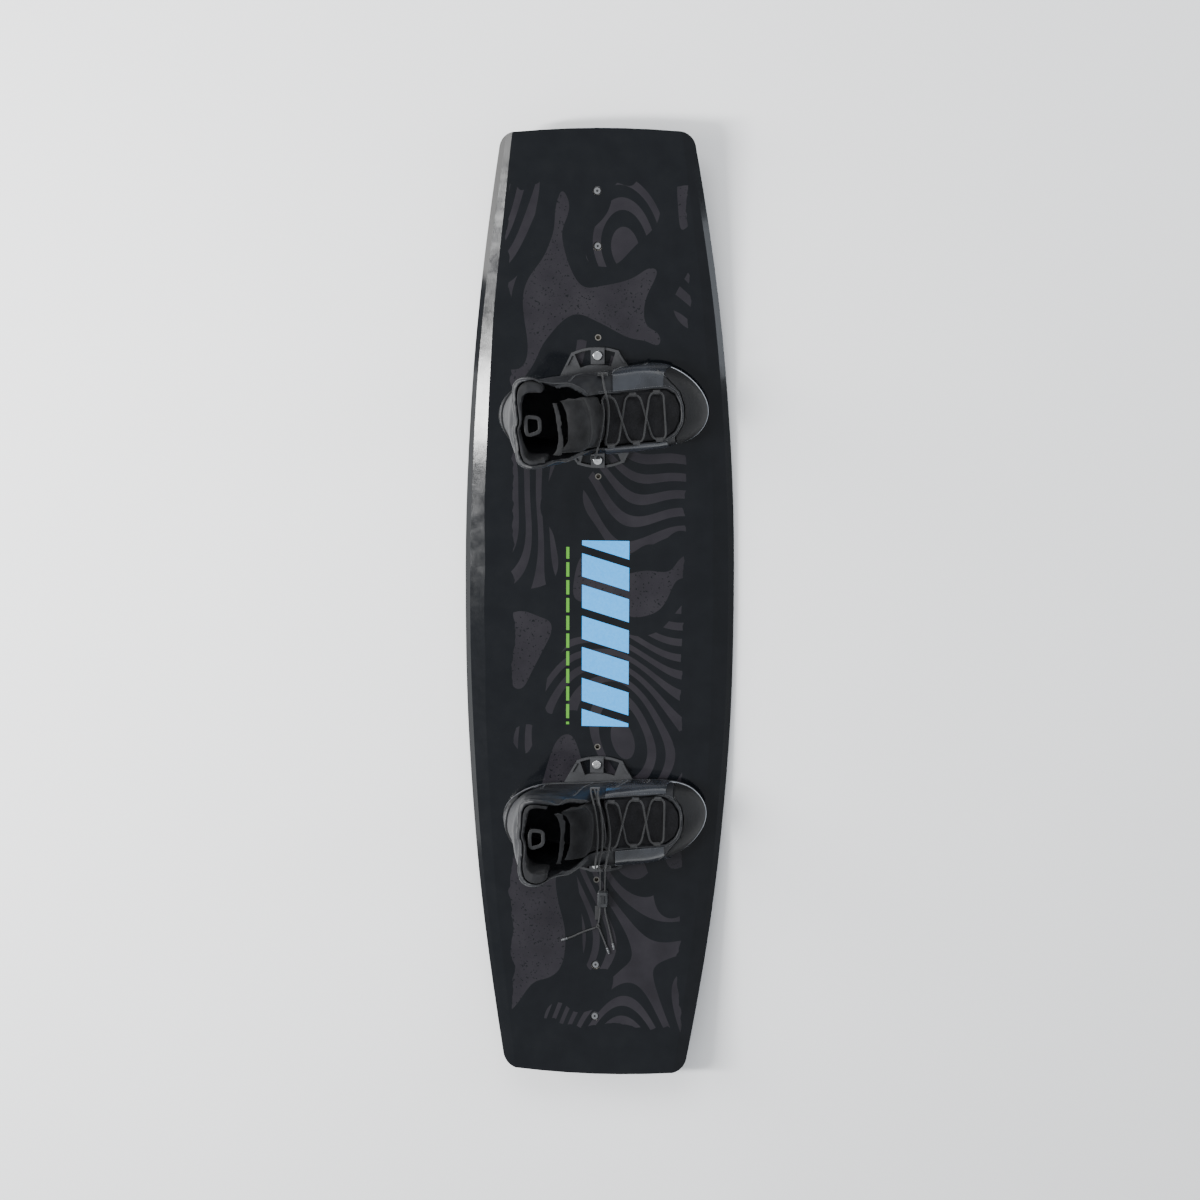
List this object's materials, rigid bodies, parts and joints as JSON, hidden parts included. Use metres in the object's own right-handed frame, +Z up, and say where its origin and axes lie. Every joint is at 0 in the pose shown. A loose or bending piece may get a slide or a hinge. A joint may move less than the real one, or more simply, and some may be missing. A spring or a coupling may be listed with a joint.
{
  "type": "wakeboard",
  "caption": "Twin-tip wakeboard with rockered glossy deck, tip fins and lace-up boots on adjustable-angle chassis plates.",
  "frame": {"origin": "on the ground under the middle of the base, centred on the board's length and width", "axes": "+Y along the board towards the left boot's end, +X towards the toe edge, +Z up from the deck"},
  "size_m": [0.4016, 1.4, 0.2365],
  "materials": {
    "deck": "glossy dark deck graphic under clear resin",
    "base": "glossy dark base",
    "core": "closed-cell foam",
    "brass": "machined",
    "stainless": "bright stainless",
    "fin": "moulded fibre-filled plastic",
    "nylon": "moulded glass-filled nylon with a fine grain",
    "upper": "coated woven upper",
    "gloss_panel": "glossy synthetic overlay",
    "toe_fabric": "grey brushed neoprene",
    "mesh": "black air mesh",
    "pad": "grey brushed lining over foam",
    "rim": "grey rolled collar edge over foam",
    "foam": "EVA foam",
    "lace": "round braided lace",
    "webbing": "woven webbing",
    "lock": "moulded plastic",
    "steel": "zinc plated"
  },
  "bodies": {
    "board": {"deck_shell": "deck", "base_shell": "base", "foam_core": "core", "inserts": "brass", "fin_nose": "fin", "fin_tail": "fin", "fin_washers": "fin", "fin_screws": "stainless", "toothed_washers": "nylon", "binding_screws": "stainless"},
    "left_boot": {"left_shell": "upper", "left_toe_cap": "toe_fabric", "left_mesh_tongue": "mesh", "left_tongue_foot": "pad", "left_collar_rim": "rim", "left_side_panels": "gloss_panel", "left_heel_counter": "gloss_panel", "left_midsole": "foam", "left_boot_screws": "steel", "left_footbed": "foam", "left_chassis": "nylon", "left_lace_loops": "webbing", "left_lace": "lace", "left_eyelets": "nylon"},
    "left_tongue": {"left_tongue_pad": "pad"},
    "left_pull": {"left_heel_loop": "webbing"},
    "right_boot": {"right_shell": "upper", "right_toe_cap": "toe_fabric", "right_mesh_tongue": "mesh", "right_tongue_foot": "pad", "right_collar_rim": "rim", "right_side_panels": "gloss_panel", "right_heel_counter": "gloss_panel", "right_midsole": "foam", "right_boot_screws": "steel", "right_footbed": "foam", "right_chassis": "nylon", "right_lace_loops": "webbing", "right_lace": "lace", "right_eyelets": "nylon", "right_tail_a": "lace", "right_tail_b": "lace", "right_tail_tips": "lace", "right_lace_knot": "lace", "right_lace_tips": "lock"},
    "right_tongue": {"right_tongue_pad": "pad"},
    "right_pull": {"right_heel_loop": "webbing"},
    "lace_lock": {"right_lace_lock": "lock", "right_lock_strap": "webbing"},
    "lock_button": {"right_lock_button": "lock"}
  },
  "joints": [
    {"name": "left_boot_angle", "type": "hinge", "parent": "board", "child": "left_boot", "pos_m": [0, 0.3048, 0.03101], "axis": [0, -0.0559, 0.9984], "range_deg": [-14, 8]},
    {"name": "right_boot_angle", "type": "hinge", "parent": "board", "child": "right_boot", "pos_m": [0.004, -0.3048, 0.03101], "axis": [0, 0.0559, 0.9984], "range_deg": [-8.5, 8.5]},
    {"name": "left_tongue_flex", "type": "hinge", "parent": "left_boot", "child": "left_tongue", "pos_m": [-0.002, 0.29629, 0.18117], "axis": [-0.0523, 0.9971, 0.0558], "range_deg": [-4, 16], "stiffness_Nm_per_rad": 0.6},
    {"name": "left_pull_flip", "type": "hinge", "parent": "left_boot", "child": "left_pull", "pos_m": [-0.08588, 0.28963, 0.22146], "axis": [0.0523, -0.9971, -0.0558], "range_deg": [0, 70]},
    {"name": "right_pull_flip", "type": "hinge", "parent": "right_boot", "child": "right_pull", "pos_m": [-0.082, -0.29412, 0.22171], "axis": [0, -0.9984, 0.0559], "range_deg": [0, 70]},
    {"name": "right_tongue_flex", "type": "hinge", "parent": "right_boot", "child": "right_tongue", "pos_m": [0.002, -0.29639, 0.18117], "axis": [0, 0.9984, -0.0559], "range_deg": [-4, 16], "stiffness_Nm_per_rad": 0.6},
    {"name": "lace_lock_slide", "type": "slide", "parent": "right_boot", "child": "lace_lock", "axis": [0, 0.9984, -0.0559], "range_m": [0, 0.008]},
    {"name": "lock_button_press", "type": "slide", "parent": "lace_lock", "child": "lock_button", "axis": [0, -0.0559, -0.9984], "range_m": [0, 0.0025], "stiffness_N_per_m": 600, "springref_m": -0.002}
  ]
}
